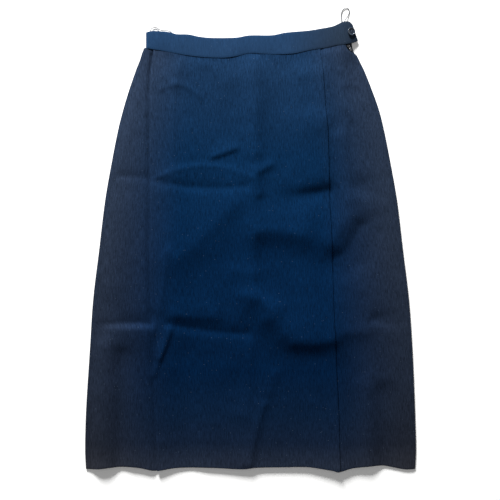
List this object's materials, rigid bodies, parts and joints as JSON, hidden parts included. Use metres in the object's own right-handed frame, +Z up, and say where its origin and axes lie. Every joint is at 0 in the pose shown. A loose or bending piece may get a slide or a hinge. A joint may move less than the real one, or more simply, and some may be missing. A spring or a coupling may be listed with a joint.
{
  "type": "pencil skirt laid flat",
  "caption": "Wool pencil skirt lying flat on its back, with a pleated front, a side zip, a buttoned waistband tab and hanger loops.",
  "frame": {"origin": "on the surface that the skirt lies on, under the middle of its outline, with the hanger loops left out", "axes": "+Z up from that surface, +Y from the hem to the waistband, +X to the right as the skirt is seen from above"},
  "size_m": [0.5776, 0.8103, 0.0131],
  "materials": {
    "cloth": "fine wool twill, soft and matt with a slight nap",
    "band_cloth": "the same twill over a stiffener, pressed flat",
    "button": "dark polished button with a raised rim",
    "zip_tape": "closely woven polyester tape",
    "zip_metal": "nickel plated, lightly rubbed",
    "loop_cord": "thin satin cord"
  },
  "bodies": {
    "skirt": {"back": "cloth", "front": "cloth", "waistband": "band_cloth", "button": "button", "zip_tape": "zip_tape", "zip_slider": "zip_metal", "hanger_loop_left": "loop_cord", "hanger_loop_right": "loop_cord"},
    "pull": {"zip_pull": "zip_metal"}
  },
  "joints": [
    {"name": "zip_pull_swing", "type": "hinge", "parent": "skirt", "child": "pull", "pos_m": [0.172, 0.349, 0.00415], "axis": [-0.848, -0.5299, 0], "range_deg": [0, 90]}
  ]
}
